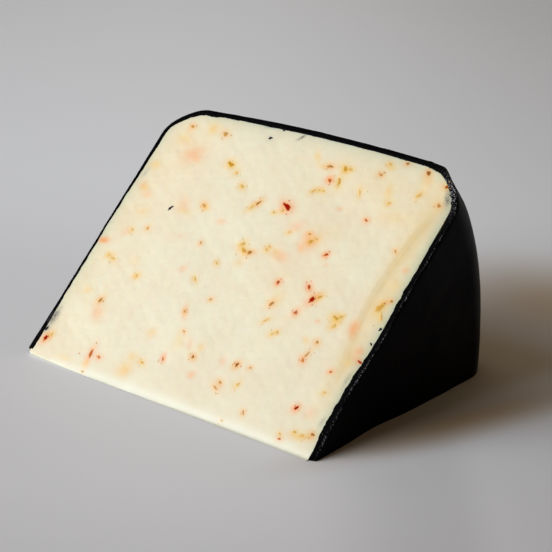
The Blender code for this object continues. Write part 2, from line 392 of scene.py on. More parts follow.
# What the window light looks at
WINDOW_TARGET = (0.0, 0.0, 20 * MM)

# The side that the room's light comes from
ROOM_LIGHT_FROM = (-0.78, -0.30, 0.55)

BLACK = (0.0, 0.0, 0.0)


# Settings

def length_setting(name, description, default):
    """A length that a maker may change."""
    return FloatProperty(name=name, description=description, default=default, unit="LENGTH")


def angle_setting(name, description, default):
    """An angle that a maker may change."""
    return FloatProperty(name=name, description=description, default=default, unit="ROTATION")


def share_setting(name, description, default):
    """A share that a maker may change."""
    return FloatProperty(name=name, description=description, default=default, subtype="FACTOR")


def colour_setting(name, description, default):
    """A colour that a maker may change."""
    return FloatVectorProperty(
        name=name, description=description, default=default, subtype="COLOR", size=3
    )


class WheelSettings(bpy.types.PropertyGroup):
    """Sizes of the whole wheel."""

    radius: length_setting("Radius", "Radius of the coated wheel", WHEEL_RADIUS)
    width: length_setting("Width", "From flat side to flat side", WHEEL_WIDTH)
    angle: angle_setting("Angle", "Angle between the two cuts", WEDGE_ANGLE)
    left_rounding: length_setting("Left rounding", "From the rind to the left side", 10.8 * MM)
    right_rounding: length_setting("Right rounding", "From the rind to the right side", 13.2 * MM)
    rind_fall: length_setting("Rind fall", "How far the rind falls towards its left end", 1.8 * MM)
    left_hollow: length_setting("Left hollow", "Depth of the left side's hollow at the axis", 1.7 * MM)
    dent: length_setting("Dent", "Depth of the dent in the right side", 1.2 * MM)
    left_wear: share_setting("Left wear", "How much of the left rounding is worn off", 0.05)
    corner_wear: share_setting(
        "Corner wear", "How much of the right rounding is worn off at the upper cut", 0.07
    )


class CheeseSettings(bpy.types.PropertyGroup):
    """Sizes and colours of the cheese."""

    unevenness: length_setting("Unevenness", "Height of the cut face's long waves", 0.12 * MM)
    cream: colour_setting("Cream", "Main colour", (0.794, 0.752, 0.572))
    warm_cream: colour_setting("Warm cream", "Colour of the warmer veins", (0.745, 0.610, 0.430))
    # Painted highlight: the colour of the lighter band where the thin edge catches light
    pale_cream: colour_setting("Pale cream", "Colour of the worn thin edge", (0.84, 0.82, 0.68))
    # Painted shade: the colour that the cheese nears where shade is painted beside the coat, to the
    # right and at the thin edge
    painted_shade_cream: colour_setting(
        "Shaded cream", "Colour that the cheese nears beside the coat", (0.37, 0.43, 0.30)
    )
    red_oil: colour_setting("Red oil", "Colour of a full red stain", (0.92, 0.32, 0.07))
    gold_oil: colour_setting("Gold oil", "Colour of a full gold stain", (0.88, 0.51, 0.06))
    tan_streak: colour_setting(
        "Tan streak", "Colour of the streak beside the right side", (0.57, 0.41, 0.15)
    )
    wax_film: colour_setting("Wax film", "Colour of the thin films of wax", (0.06, 0.055, 0.065))


class CoatSettings(bpy.types.PropertyGroup):
    """Sizes and colours of the wax coat."""

    thickness_left: length_setting("Left thickness", "Over the left side", 1.08 * MM)
    thickness: length_setting("Rind thickness", "Over the rind", 1.75 * MM)
    thickness_right: length_setting("Right thickness", "Over the right side", 1.88 * MM)
    lumps: length_setting("Lumps", "Height of the dipped wax's long waves", 0.16 * MM)
    lip: length_setting("Lip", "How far the cut wax stands over the cheese", 0.10 * MM)
    colour: colour_setting("Colour", "Colour of the wax", (0.0028, 0.0025, 0.0034))
    scrap_colour: colour_setting(
        "Scrap colour", "Colour of the small scraps of wax on the cheese", (0.030, 0.026, 0.034)
    )
    # Grey of the specks at the upper right corner of the cut and of the painted glints along the right
    # lip's ridge
    speck_and_glint_colour: colour_setting(
        "Dust colour", "Colour of the cheese dust on the cut wax", (0.42, 0.41, 0.44)
    )


class FlakeSettings(bpy.types.PropertyGroup):
    """Sizes and colours of the chilli flakes and the wax scraps."""

    proud: length_setting("Proud", "How far a flake stands over the cheese", 0.12 * MM)
    depth: length_setting("Depth", "How far a flake reaches into the cheese", 0.4 * MM)
    scrap_proud: length_setting("Scrap proud", "How far a scrap of wax stands out", 0.22 * MM)
    scrap_depth: length_setting("Scrap depth", "How far a scrap reaches into the cheese", 0.2 * MM)
    underside_count: IntProperty(
        name="Underside count", description="Flakes of each kind in the face below", default=24
    )
    red_core: colour_setting("Red core", "Middle of a red flake", (0.31, 0.004, 0.000))
    red_rim: colour_setting("Red rim", "Edge of a red flake", (0.82, 0.34, 0.085))
    brown_core: colour_setting("Brown core", "Middle of a brown flake", (0.24, 0.055, 0.001))
    brown_rim: colour_setting("Brown rim", "Edge of a brown flake", (0.80, 0.47, 0.145))
    gold_core: colour_setting("Gold core", "Middle of a gold flake", (0.54, 0.26, 0.001))
    gold_rim: colour_setting("Gold rim", "Edge of a gold flake", (0.88, 0.63, 0.26))


class StageSettings(bpy.types.PropertyGroup):
    """The floor, the lights and the camera."""

    floor_colour: colour_setting("Floor colour", "Colour of the floor", (0.890, 0.903, 0.940))
    # Painted light: the floor nears this bluer colour farther behind the wedge
    far_floor_colour: colour_setting(
        "Far floor colour", "Colour of the floor behind the wedge", (0.905, 0.945, 1.0)
    )
    # Painted shadow: the warm dark colour of the painted shadow beside the cast shadow
    painted_shadow_colour: colour_setting(
        "Shade colour", "Colour that the floor nears in the warm shades by the shadow", (0.30, 0.16, 0.0)
    )
    key_power: FloatProperty(
        name="Key power", description="Power of the low window light", default=45.4, unit="POWER"
    )
    key_size: length_setting("Key size", "Side of the window light", 1.45)
    key_colour: colour_setting("Key colour", "Colour of the window light", (0.89, 0.94, 1.0))
    key_heading: angle_setting("Key heading", "Where the window lies, round from X", math.radians(234.7))
    key_height: angle_setting("Key height", "Height of the window over the floor", math.radians(26))
    key_distance: length_setting("Key distance", "From the wedge to the window", 1.8)
    fill_colour: colour_setting(
        "Fill colour", "Colour of the room's light on the window's side", (1.0, 0.79, 0.55)
    )
    far_fill_colour: colour_setting(
        "Far fill colour", "Colour of the room's light opposite the window", (1.0, 0.62, 0.28)
    )
    fill_strength: FloatProperty(
        name="Fill strength", description="Greatest strength of the room's light", default=0.36
    )
    camera_heading: angle_setting("Camera heading", "Turn from straight ahead", math.radians(33.88))
    camera_tilt: angle_setting("Camera tilt", "How far it looks down", math.radians(19.34))
    camera_roll: angle_setting("Camera roll", "How far it leans", math.radians(-4.74))
    camera_place: FloatVectorProperty(
        name="Camera place",
        description="Where the camera stands",
        default=(258.3 * MM, -381.7 * MM, 184.6 * MM),
        unit="LENGTH",
        size=3,
    )
    film_width: FloatProperty(name="Film width", description="In millimetres", default=36)
    lens: FloatProperty(name="Lens", description="Focal length in millimetres", default=125.3)


class WedgeSettings(bpy.types.PropertyGroup):
    """All the settings of the wedge."""

    wheel: PointerProperty(type=WheelSettings)
    cheese: PointerProperty(type=CheeseSettings)
    coat: PointerProperty(type=CoatSettings)
    flakes: PointerProperty(type=FlakeSettings)
    stage: PointerProperty(type=StageSettings)


def settings():
    """The wedge's settings in this scene."""
    return bpy.context.scene.cheese_wedge


# Shapes

def ripples(points, wavelength, seed, count=24):
    """Smooth uneven height, about -1 to 1: a sum of cosine waves through space whose headings,
    phases and lengths (0.6 to 1.5 of the wavelength) are drawn at random.
    """
    draw = np.random.default_rng(seed)
    heading = draw.normal(size=(count, 3))
    heading /= np.linalg.norm(heading, axis=1, keepdims=True)
    length = wavelength * draw.uniform(0.6, 1.5, count)
    phase = draw.uniform(0, 2 * math.pi, count)
    turns = points @ (heading * (2 * math.pi / length)[:, None]).T + phase
    return np.cos(turns).sum(axis=-1) / math.sqrt(2 * count)


def fade(distance, reach):
    """1 at no distance, falling as a bell curve over the reach."""
    return np.exp(-((distance / reach) ** 2))


def swellings(place, table):
    """Sum of the bell curves in a table of middles, reaches and heights."""
    middle, reach, height = np.array(table).T * MM
    return (height * fade(place[..., None] - middle, reach)).sum(axis=-1)


def in_space(x, radius, angle):
    """Point at a radius from the wheel's axis and an angle up from the table."""
    y = AXIS_BACK + radius * np.cos(angle)
    z = radius * np.sin(angle)
    return np.stack(np.broadcast_arrays(x, y, z), axis=-1)


def press_corner(x, radius, centre_x, centre_radius, reach_x, reach_radius, wear):
    """Presses the square corner beyond a centre into a quarter ellipse: with p and q the shares
    of the reaches, p becomes p * sqrt(1 - q * q / 2) and q becomes q * sqrt(1 - p * p / 2).
    Wear then pulls the middle of the rounding in.
    """
    p = (x - centre_x) / reach_x
    q = (radius - centre_radius) / reach_radius
    inside = (p > 0) & (q > 0)
    p = np.where(inside, p, 0)
    q = np.where(inside, q, 0)
    round_p = p * np.sqrt(1 - q * q / 2)
    round_q = q * np.sqrt(1 - p * p / 2)
    size = np.maximum(round_p**2 + round_q**2, 1e-12)
    taper_share = 1 - wear * (2 * round_p * round_q) ** 2 / size
    pressed_x = centre_x + round_p * taper_share * reach_x
    pressed_radius = centre_radius + round_q * taper_share * reach_radius
    return np.where(inside, pressed_x, x), np.where(inside, pressed_radius, radius)


def wheel_section(across, up, angle, insets):
    """Place in the wheel's section, as x and radius, of a point of a plain square.

    across runs from -1 at the left side to 1 at the right, up from 0 at the axis to 1 at the
    rind. The square's two outer corners are pressed round, the rind falls off as a parabola
    about its high place, the left side is hollow by a power of the radius, and the right
    side has an oval dent as a bell curve. The insets move left side, rind and right side in.
    """
    wheel = settings().wheel
    inset_left, inset_rind, inset_right = insets
    left = -wheel.width / 2 + inset_left
    right = wheel.width / 2 - inset_right
    outside = wheel.radius - inset_rind
    x = (left + right) / 2 + across * (right - left) / 2
    radius = up * outside
    left_centre = -wheel.width / 2 + wheel.left_rounding
    right_centre = wheel.width / 2 - wheel.right_rounding
    mirrored, radius = press_corner(
        -x,
        radius,
        -left_centre,
        wheel.radius - wheel.left_rounding,
        wheel.left_rounding - inset_left,
        wheel.left_rounding - inset_rind,
        wheel.left_wear,
    )
    x, radius = press_corner(
        -mirrored,
        radius,
        right_centre,
        wheel.radius - wheel.right_rounding,
        wheel.right_rounding - inset_right,
        wheel.right_rounding - inset_rind,
        wheel.corner_wear * fade((wheel.angle - angle) * wheel.radius, 7 * MM),
    )
    from_high = (np.clip(x, left_centre, right_centre) - RIND_HIGH) / RIND_REACH
    radius = radius * (outside - wheel.rind_fall * from_high**2) / outside
    rim = wheel.radius - wheel.left_rounding
    hollow = wheel.left_hollow * (1 - np.clip(radius / rim, 0, 1) ** 0.9)
    dent = dent_depth(radius, angle)
    return x + hollow * np.clip(-across, 0, 1) - dent * np.clip(across, 0, 1), radius


def dent_depth(radius, angle):
    """Depth of the oval dent in the right side: a bell curve along it and one across it."""
    back = radius * np.cos(angle) - DENT_BACK
    above = radius * np.sin(angle) - DENT_ABOVE
    heading_back, heading_up = DENT_HEADING
    along = heading_back * back + heading_up * above
    beside = heading_back * above - heading_up * back
    return settings().wheel.dent * fade(along, DENT_LENGTH) * fade(beside, DENT_WIDTH)


def up_face_frame():
    """Along, up and out directions of the leaning cut face."""
    angle = settings().wheel.angle
    along = np.array((1.0, 0.0, 0.0))
    up = np.array((0.0, math.cos(angle), math.sin(angle)))
    return along, up, np.cross(along, up)


def face_relief(across, up):
    """Height of the cut face over its plane: long waves, short waves and fine grain, less a
    rounding near the thin edge, as an exponential of the distance from it.
    """
    spot = np.stack(np.broadcast_arrays(across, up, 0.0), axis=-1)
    waves = settings().cheese.unevenness * ripples(spot, 22 * MM, 11)
    short = 0.03 * MM * ripples(spot, 3.5 * MM, 12)
    fine = 0.010 * MM * ripples(spot, 1.3 * MM, 13)
    rounding = 0.30 * MM * np.exp(-up / (0.9 * MM))
    return (waves + short + fine) * np.clip(up / (6 * MM), 0.05, 1) - rounding


def stain_depth(across, up, stains):
    """Strength of oval stains at places in a face: each is a bell curve with its own length,
    width and turn, and they add up like layers of paint.
    """
    table = np.array(stains)
    turn = np.radians(table[:, 4])
    aside = across[..., None] - table[:, 0] * MM
    above = up[..., None] - table[:, 1] * MM
    along = aside * np.cos(turn) + above * np.sin(turn)
    beside = above * np.cos(turn) - aside * np.sin(turn)
    layer = fade(along, table[:, 2] * MM / 2) * fade(beside, table[:, 3] * MM / 2)
    return 1 - np.prod(1 - table[:, 5] * layer, axis=-1)


def flake_stains(flakes, strength, margin):
    """Stains round flakes: as turned as they are, 1.3 times as wide and a margin more, in
    millimetres, and stronger round strong flakes.
    """
    table = np.array(flakes, float)
    table[:, 2:4] = table[:, 2:4] * 1.3 + margin
    table[:, 5] = strength * (0.35 + 0.65 * table[:, 5])
    return table


def streak_depth(across, up):
    """Strength of the tan streak: a bell curve across its middle line, which passes smoothly
    through its bends, and three thin lines along it, fading at both ends.
    """
    bends = np.array(STREAK_BENDS)[::-1] * MM
    middle = np.interp(up, bends[:, 1], bends[:, 0])
    for _ in range(2):
        middle = (middle + np.interp(up + 2 * MM, bends[:, 1], bends[:, 0])) / 2
        middle = (middle + np.interp(up - 2 * MM, bends[:, 1], bends[:, 0])) / 2
    spot = np.stack((across, up, np.zeros_like(up)), axis=-1)
    width = 1.35 * MM * (1 + 0.25 * ripples(spot, 20 * MM, 31))
    ends = np.clip((up - 14 * MM) / (14 * MM), 0, 1) * np.clip((73 * MM - up) / (5 * MM), 0, 1)
    aside = across - middle - 0.15 * MM * ripples(spot, 9 * MM, 32)
    line = 0.33 * MM
    lines = fade(aside - 0.5 * MM, line) + 0.8 * fade(aside + 0.9 * MM, line)
    lines = lines + 0.4 * fade(aside - 1.6 * MM, line)
    broken = np.clip(0.7 + 0.5 * ripples(spot, 7 * MM, 33), 0, 1)
    return (0.70 * fade(aside, width) + 0.40 * lines * broken) * ends


def underside_places(seed):
    """Random flakes for the face below: even over it, clear of the coat, any turn."""
    count = settings().flakes.underside_count
    draw = np.random.default_rng(seed)
    across = draw.uniform(-40, 40, count)
    up = draw.uniform(3, 76, count)
    length = draw.uniform(*BELOW_LENGTHS, count)
    width = length * draw.uniform(0.4, 0.7, count)
    turn = draw.uniform(-90, 90, count)
    return np.column_stack((across, up, length, width, turn, draw.uniform(0.3, 1, count)))


def with_splinters(flakes, seed):
    """Flakes with three splinters round each large one: at 0.5 to 1.1 of its length from its
    middle, any way round, and a quarter of a millimetre or more long.
    """
    table = np.array(flakes, float)
    draw = np.random.default_rng(seed)
    near = np.repeat(table[table[:, 2] > 1.1], 3, axis=0)
    count = len(near)
    heading = draw.uniform(0, 2 * math.pi, count)
    reach = near[:, 2] * draw.uniform(0.5, 1.1, count)
    across = near[:, 0] + reach * np.cos(heading)
    up = near[:, 1] + reach * np.sin(heading)
    length = draw.uniform(0.25, 0.55, count)
    width = length * draw.uniform(0.4, 0.8, count)
    turn = draw.uniform(-90, 90, count)
    strength = near[:, 5] * draw.uniform(0.2, 0.6, count)
    splinters = np.column_stack((across, up, length, width, turn, strength))
    clear = (np.abs(across) < 41.5) & (up > 1) & (up < 80)
    return np.vstack((table, splinters[clear]))


def edge_wear(across):
    """How far the thin edge is worn back: more to the left, most at its broken tip, as a
    straight line, one for the left half and a fourth power.
    """
    left = np.clip(-across, 0, 1)
    return (-0.22 - 0.25 * across + 0.30 * left + 0.9 * left**4) * MM


def edge_reach(across, up):
    """How far the face runs out at the right of the thin edge, fading up the face."""
    return 0.9 * MM * np.clip(across, 0, 1) ** 1.5 * np.exp(-up / (7 * MM))


def left_thinning(up):
    """How much thinner the left side's wax is half-way up, as a bell curve."""
    return 0.25 * MM * fade(up - LEFT_THINNEST, 14 * MM)


def upper_height(across, up):
    """Height of the leaning face over its plane, with what it runs out at the thin edge."""
    wheel = settings().wheel
    share = across / (wheel.width / 2)
    return face_relief(across, up) + edge_reach(share, up) * math.sin(wheel.angle)


def lower_height(across, up):
    """Height of the flakes' ground in the face below: level, and sunk out of sight."""
    return np.full_like(across, -0.14 * MM)


def upper_face():
    """Directions and height of the leaning face."""
    return up_face_frame(), upper_height


def lower_face():
    """Directions and height of the face below, whose across runs the other way."""
    return (np.array((-1.0, 0, 0)), np.array((0, 1.0, 0)), np.array((0, 0, -1.0))), lower_height


# Meshes from arrays

def new_piece(name, points, face_groups, node, material, smooth_angle=40):
    """Makes a piece from an array of points and arrays of faces, with no loop over them."""
    mesh = bpy.data.meshes.new(name)
    corners = np.concatenate([group.reshape(-1) for group in face_groups]).astype(np.int32)
    sizes = np.concatenate([np.full(len(group), group.shape[1]) for group in face_groups])
    starts = np.concatenate(([0], np.cumsum(sizes)[:-1])).astype(np.int32)
    mesh.vertices.add(len(points))
    mesh.vertices.foreach_set("co", points.astype(np.float32).reshape(-1))
    mesh.loops.add(len(corners))
    mesh.loops.foreach_set("vertex_index", corners)
    mesh.polygons.add(len(sizes))
    mesh.polygons.foreach_set("loop_start", starts)
    mesh.update(calc_edges=True)
    mesh.shade_smooth()
    mesh.set_sharp_from_angle(angle=math.radians(smooth_angle))
    mesh.materials.append(material)
    piece = bpy.data.objects.new(name, mesh)
    bpy.context.scene.collection.objects.link(piece)
    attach(piece, "root")
    if node:
        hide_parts(node)
    return piece


def add_values(piece, name, values):
    """Stores one number for each point of a piece."""
    layer = piece.data.attributes.new(name, "FLOAT", "POINT")
    layer.data.foreach_set("value", values.astype(np.float32).reshape(-1))


def quads_between(rows):
    """Quads between neighbouring rows of point numbers, which turn out on the rows' left."""
    low = rows[:-1]
    high = rows[1:]
    return np.stack((low[:, :-1], low[:, 1:], high[:, 1:], high[:, :-1]), axis=-1).reshape(-1, 4)


def cheese_insets():
    """How far the cheese lies inside the wheel at its left side, its rind and its right side."""
    coat = settings().coat
    return (
        coat.thickness_left - left_thinning(LEFT_THINNEST) - UNDER_COAT,
        coat.thickness - UNDER_COAT,
        coat.thickness_right - UNDER_COAT,
    )


def cheese_faces(across, up):
    """The leaning face and the face below as grids, each with its points, x and radius."""
    angle = settings().wheel.angle
    upper_x, upper_radius = wheel_section(across, up, angle, cheese_insets())
    relief = face_relief(upper_x, upper_radius)[..., None]
    upper = in_space(upper_x, upper_radius, angle) + relief * up_face_frame()[2]
    upper[..., 1] -= edge_reach(across, upper_radius)
    upper[..., 2] = np.maximum(upper[..., 2], NOSE_HEIGHT)
    lower_x, lower_radius = wheel_section(across, up, 0.0, cheese_insets())
    lower = in_space(lower_x, lower_radius, 0.0) + np.array((0, 0, TABLE_GAP))
    lower[..., 1] -= edge_reach(across, lower_radius)
    return (upper, upper_x, upper_radius), (lower, lower_x, lower_radius)


def cheese_walls(ring, across, up, upper, lower):
    """Layers of points between the two faces' rims. They follow the section at angles between
    the cuts, but at the thin edge the curve (1 - s)^2 * upper + 2 * s * (1 - s) * handle
    + s^2 * lower, whose handle is near the axis.
    """
    ring_across = across.reshape(-1)[ring]
    share = (np.arange(1, CHEESE_LAYERS) / CHEESE_LAYERS)[:, None]
    angle = settings().wheel.angle * (1 - share)
    wall_x, wall_radius = wheel_section(ring_across, up.reshape(-1)[ring], angle, cheese_insets())
    ring_upper = upper.reshape(-1, 3)[ring]
    ring_lower = lower.reshape(-1, 3)[ring]
    handle = (ring_upper + ring_lower) / 2
    handle[:, 1] = AXIS_BACK + HANDLE_BACK + edge_wear(ring_across) - edge_reach(ring_across, 0.0)
    handle[:, 2] = NOSE_HEIGHT
    s = share[..., None]
    nose = (1 - s) ** 2 * ring_upper + 2 * s * (1 - s) * handle + s**2 * ring_lower
    at_edge = (ring < CHEESE_ACROSS)[None, :, None]
    return np.where(at_edge, nose, in_space(wall_x, wall_radius, angle))


def make_cheese():
    """The cheese: two cut faces as grids of the wheel's section, joined all round by walls."""
    across = np.linspace(-1, 1, CHEESE_ACROSS)[None, :]
    first = np.maximum(EDGE_START + edge_wear(across), EDGE_LEAST) / settings().wheel.radius
    up = first + (1 - first) * np.linspace(0, 1, CHEESE_UP)[:, None]
    across = np.broadcast_to(across, up.shape)
    upper, lower = cheese_faces(across, up)
    count = across.size
    numbers = np.arange(count).reshape(across.shape)
    ring = np.concatenate((numbers[0], numbers[1:, -1], numbers[-1, -2::-1], numbers[-2:0:-1, 0]))
    walls = cheese_walls(ring, across, up, upper[0], lower[0]).reshape(-1, 3)
    layers = 2 * count + np.arange(len(walls)).reshape(-1, len(ring))
    rows = np.vstack((ring[None], layers, ring[None] + count))
    rows = np.hstack((rows, rows[:, :1]))
    faces = (
        quads_between(numbers),
        quads_between(numbers + count)[:, ::-1],
        quads_between(rows)[:, ::-1],
    )
    points = np.vstack((upper[0].reshape(-1, 3), lower[0].reshape(-1, 3), walls))
    piece = new_piece("cheese_body", points, faces, "cheese", cheese_material())
    paint_cheese(piece, upper[1:], lower[1:], across, up, len(walls))
    return piece


def painted_shade_values(across, up, height):
    """Painted shade on the cheese, darker and a little greener: beside the coat, as an exponential
    of the distance and a bell curve at the right side, a little more to the right, where less light
    falls, and at the very thin edge.
    """
    wheel = settings().wheel
    from_side = (1 - np.abs(across)) * wheel.width / 2
    from_coat = np.minimum(from_side, (1 - up) * wheel.radius)
    from_right = (1 - across) * wheel.width / 2
    beside = 0.42 * np.exp(-from_coat / (2.2 * MM)) + 0.25 * fade(from_right, 1.6 * MM)
    beside = beside * np.clip(height / (9 * MM), 0.15, 1)
    return beside + 0.025 * (1 + across) + 0.35 * fade(height, 0.5 * MM)


def paint_cheese(piece, upper, lower, across, up, wall_count):
    """Stores the stains, the streak, the painted highlight along the thin edge, the painted shade and
    the wax films as numbers on the points. upper and lower hold the x and the radius of each
    face's grid.
    """
    red_rings = flake_stains(RED_FLAKES, RED_STRENGTH, 1.1)
    brown_red_rings = flake_stains(BROWN_FLAKES, BROWN_RED_STRENGTH, 1.1)
    gold_rings = flake_stains(GOLD_FLAKES, GOLD_STRENGTH, 1.1)
    brown_gold_rings = flake_stains(BROWN_FLAKES, BROWN_GOLD_STRENGTH, 1.2)
    red = stain_depth(*upper, np.vstack((RED_STAINS, red_rings, brown_red_rings)))
    gold = stain_depth(*upper, np.vstack((GOLD_STAINS, gold_rings, brown_gold_rings)))
    below_red = flake_stains(underside_places(RED_SEED), RED_STRENGTH, 1.3)
    below_gold = flake_stains(underside_places(GOLD_SEED), GOLD_STRENGTH, 1.3)
    below_brown = flake_stains(underside_places(BROWN_SEED), BROWN_GOLD_STRENGTH, 1.4)
    lower_gold = stain_depth(*lower, np.vstack((below_gold, below_brown)))
    # Painted shade beside the coat, to the right and at the very thin edge
    shade = painted_shade_values(across, up, upper[1])
    # Span along the thin edge that gets the painted highlight: none at the left end, less at the right
    # end
    taper_share = np.clip((across + 0.90) / 0.35, 0, 1) * np.clip((1.25 - across) / 0.5, 0, 1)
    # Painted highlight: a lighter band just up from the thin edge, where it catches light
    pale = fade(upper[1] - 1.4 * MM, 1.3 * MM) * taper_share
    none = np.zeros_like(shade)
    for name, above, below, wall in (
        ("red_oil", red, stain_depth(*lower, below_red), 0),
        ("gold_oil", gold, lower_gold, 0),
        ("streak", streak_depth(*upper), none, 0),
        # pale: painted highlight; the walls get it too, so the nose, which faces down into shade, is
        # painted lighter
        ("pale", pale, none, 0.6),
        # shade: painted shade, the same on both faces
        ("shade", shade, shade, 0),
        ("wax_film", stain_depth(*upper, WAX_FILMS), none, 0),
    ):
        walls = np.full(wall_count, wall)
        add_values(piece, name, np.concatenate((above.reshape(-1), below.reshape(-1), walls)))


def coat_path():
    """Across and up along the coat's path: up the left side, over the rind, down the right.
    The wax has broken off the left end of the thin edge.
    """
    radius = settings().wheel.radius
    left = np.linspace(BROKEN_END / radius, 1, COAT_SIDE_STEPS, endpoint=False)
    over = np.linspace(-1, 1, COAT_RIND_STEPS)
    right = np.linspace(1, WHOLE_END / radius, COAT_SIDE_STEPS + 1)[1:]
    across = np.concatenate((np.full(len(left), -1.0), over, np.full(len(right), 1.0)))
    up = np.concatenate((left, np.ones(len(over)), right))
    return across[:, None], up[:, None]


def path_normals(x, radius):
    """Directions square to a path, out of the wheel, as x and radius shares."""
    step_x = np.gradient(x, axis=0)
    step_radius = np.gradient(radius, axis=0)
    size = np.hypot(step_x, step_radius)
    return -step_radius / size, step_x / size


def coat_outside(across, up, angles):
    """The coat's outside as a grid: the wheel's section with the dipped wax's waves, a little
    sunk at the upper cut, fuller over the left side, and with beads along the rind beside the
    cut. Also the edge at the upper cut, as plain points and as places up the face.
    """
    x, radius = wheel_section(across, up, angles, (0, 0, 0))
    out_x, out_radius = path_normals(x, radius)
    skin = in_space(x, radius, angles)
    height = settings().coat.lumps * ripples(skin, 26 * MM, 21)
    height = height + 0.04 * MM * ripples(skin, 7 * MM, 22)
    from_cut = radius * np.sin(settings().wheel.angle - angles)
    height = height - 0.10 * MM * fade(from_cut, 0.35 * MM)
    height = height + 0.15 * MM * np.clip(-across, 0, 1) ** 8
    height = height + swellings(x, RIND_BEADS) * fade(from_cut, 4 * MM) * (radius > 78 * MM)
    outer = in_space(x + height * out_x, radius + height * out_radius, angles)
    return outer, skin[:, -1], radius[:, -1:]


def coat_thickness(edge, edge_up):
    """Thickness over the left side, the rind and the right side at each step of the path:
    uneven everywhere, more at both shoulders and low on the sides, as bell curves.
    """
    coat = settings().coat
    ragged = 1 + 0.10 * ripples(edge, 5 * MM, 23) + 0.06 * ripples(edge, 1.1 * MM, 24)
    ragged = ragged[:, None]
    right_corner = fade(np.hypot(edge[:, :1] - 36 * MM, edge_up - 81 * MM), 7 * MM)
    left_corner = fade(np.hypot(edge[:, :1] + 38 * MM, edge_up - 79 * MM), 8 * MM)
    left_extra = 0.50 * left_corner + 0.45 * fade(edge_up - 8 * MM, 7 * MM)
    rind_extra = 0.30 * right_corner + 0.45 * left_corner
    left = (coat.thickness_left + left_extra * MM) * ragged - left_thinning(edge_up)
    rind = (coat.thickness + rind_extra * MM) * ragged
    right = (coat.thickness_right + swellings(edge_up, RIGHT_SWELLINGS)) * ragged
    return left, rind, right


def lip_lift(edge, share):
    """How far the cut wax stands up across its lip: half a sine wave to a low power, an uneven
    burr near the outside and an uneven groove near the cheese.
    """
    burr = 0.10 * MM * ripples(edge, 1.4 * MM, 25) + 0.07 * MM * ripples(edge, 0.7 * MM, 26)
    groove = 0.04 * MM * ripples(edge, 2.2 * MM, 27)
    lift = settings().coat.lip * np.sin(math.pi * share) ** 0.4
    lift = lift + burr[:, None, None] * fade(share - 0.15, 0.18)
    return lift + groove[:, None, None] * fade(share - 0.6, 0.25)


def lip_shares():
    """Places of the lip's points from the outside, 0, to the cheese, 1."""
    return np.arange(1, COAT_LIP_STEPS + 1) / (COAT_LIP_STEPS + 1)


def coat_loops():
    """The coat's profile at each step of its path: up the outside from the table to the upper
    cut, over the lip, down the inside and under it. Also the edge at the upper cut.
    """
    wheel = settings().wheel
    across, up = coat_path()
    angles = wheel.angle * np.linspace(0, 1, COAT_ROUND_STEPS)[None, :]
    outer, edge, edge_up = coat_outside(across, up, angles)
    back = wheel.angle * np.linspace(1, 0, COAT_INNER_STEPS)[None, :]
    inner_x, inner_radius = wheel_section(across, up, back, coat_thickness(edge, edge_up))
    inner = in_space(inner_x, inner_radius, back)
    inner[..., 1] -= edge_reach(inner_x / (wheel.width / 2), inner_radius)
    normal = up_face_frame()[2]
    taper = np.clip(edge_up / (3 * MM), 0, 1)[..., None]
    share = lip_shares()[None, :, None]
    relief = face_relief(inner_x[:, :1], inner_radius[:, :1])[..., None]
    lift = (lip_lift(edge, share) + relief * share) * taper * normal
    upper_lip = outer[:, -1:] * (1 - share) + inner[:, :1] * share + lift
    outer[:, -1] -= OUTER_SUNK * taper[:, 0] * normal
    inner[:, 0] += (relief[:, 0] - INNER_SUNK) * taper[:, 0] * normal
    lower_lip = inner[:, -1:] * (1 - share) + outer[:, :1] * share
    loops = np.concatenate((outer, upper_lip, inner, lower_lip), axis=1)
    loops[..., 2] = np.maximum(loops[..., 2], 0)
    return loops, edge


def make_coat():
    """The wax coat: a closed profile carried along the coat's path, with a fan at each end."""
    loops, edge = coat_loops()
    steps, around = loops.shape[:2]
    numbers = np.arange(steps * around).reshape(steps, around)
    rows = np.hstack((numbers, numbers[:, :1]))
    pole = np.full(around, steps * around)
    start_fan = np.stack((pole, rows[0, 1:], rows[0, :-1]), axis=-1)
    end_fan = np.stack((pole + 1, rows[-1, :-1], rows[-1, 1:]), axis=-1)
    points = np.vstack((loops.reshape(-1, 3), loops[0].mean(axis=0), loops[-1].mean(axis=0)))
    faces = (quads_between(rows), start_fan, end_fan)
    material = wax_material("Black wax", settings().coat.colour)
    piece = new_piece("wax_coat_skin", points, faces, "wax_coat", material, 60)
    paint_coat(piece, edge, (steps, around))
    return piece


def paint_coat(piece, edge, shape):
    """Stores where the wax is cut, and where grey lies on the cut: specks at the upper right
    corner, and painted glints in a broken line along the ridge of the right side's lip.
    """
    lip = slice(COAT_ROUND_STEPS, COAT_ROUND_STEPS + COAT_LIP_STEPS)
    cut = np.zeros(shape)
    cut[:, lip] = 1
    cut[:, COAT_ROUND_STEPS - 1] = 0.6
    corner = fade(edge[:, 0] - 42 * MM, 3.5 * MM) * fade(edge[:, 2] - 53 * MM, 4 * MM)
    right = np.clip((edge[:, 0] - 38 * MM) / (5 * MM), 0, 1)
    # Painted glints: a broken line along the ridge of the right side's lip
    ridge_glints = np.zeros(shape)
    ridge_glints[:, lip] = 0.65 * fade(lip_shares() - 0.16, 0.09)
    ridge_glints = ridge_glints * np.clip(0.55 + 0.8 * ripples(edge, 9 * MM, 28), 0, 1)[:, None]
    specks_and_glints = np.clip(corner[:, None] * cut + right[:, None] * ridge_glints, 0, 1)
    for name, values in (("cut", cut), ("specks_and_glints", specks_and_glints)):
        add_values(piece, name, np.append(values.reshape(-1), (0, 0)))


def in_face(directions, across, up, height):
    """Points at places in a face and heights over it."""
    along, upward, out = directions
    axis = np.array((0, AXIS_BACK, 0))
    return axis + across[..., None] * along + up[..., None] * upward + height[..., None] * out


def grain_reach():
    """How far out each ring of a grain lies, from the inmost to the rim, which is 1."""
    return np.linspace(1, 0, GRAIN_RINGS, endpoint=False)[::-1]


